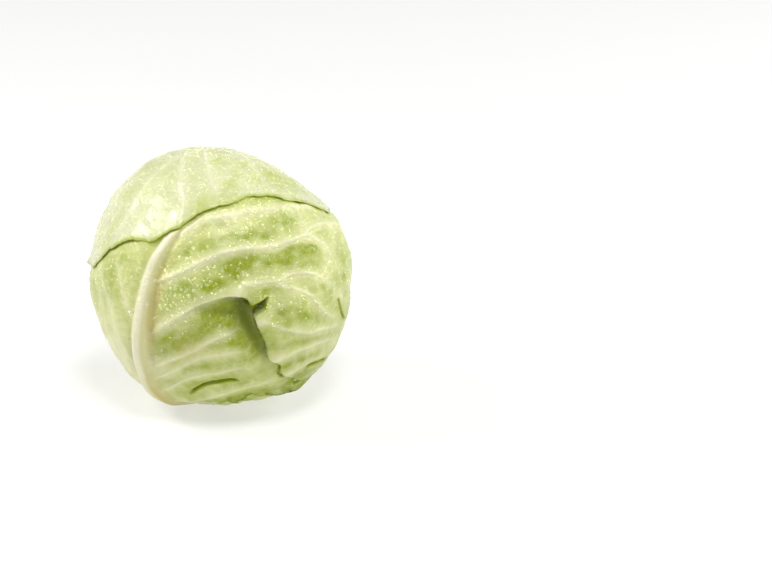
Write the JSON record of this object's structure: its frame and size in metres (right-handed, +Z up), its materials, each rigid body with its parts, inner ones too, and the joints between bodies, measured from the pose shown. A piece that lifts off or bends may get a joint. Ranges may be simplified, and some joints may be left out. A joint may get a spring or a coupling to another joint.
{
  "type": "cabbage head",
  "caption": "Round head of white cabbage with closely wrapped, ribbed leaves, standing on the cut face of its stem.",
  "frame": {"origin": "middle of the stem's flat cut face, on the surface the head stands on", "axes": "+Z up through the head from the stem, -Y towards the broad front leaf with the fold, +X to the right as seen from the front"},
  "size_m": [0.1695, 0.1736, 0.1667],
  "materials": {
    "stem": "moist matt cut stem, cream with a pale green rind",
    "wrapper_leaf": "waxy satin leaf, pale green with cream ribs, beaded with water",
    "inner_leaf": "smooth satin leaf, yellowish white",
    "water": "clear water drops, gloss"
  },
  "bodies": {
    "root": {"stem": "stem", "cap_leaf": "wrapper_leaf", "front_leaf": "wrapper_leaf", "torn_leaf_base": "wrapper_leaf", "right_leaf": "wrapper_leaf", "left_leaf": "wrapper_leaf", "inner_leaf_1": "inner_leaf", "inner_leaf_2": "inner_leaf", "inner_leaf_3": "inner_leaf", "inner_leaf_4": "inner_leaf", "inner_leaf_5": "inner_leaf", "inner_leaf_6": "inner_leaf", "inner_leaf_7": "inner_leaf", "inner_leaf_8": "inner_leaf", "heart_bud": "inner_leaf"}
  },
  "joints": []
}
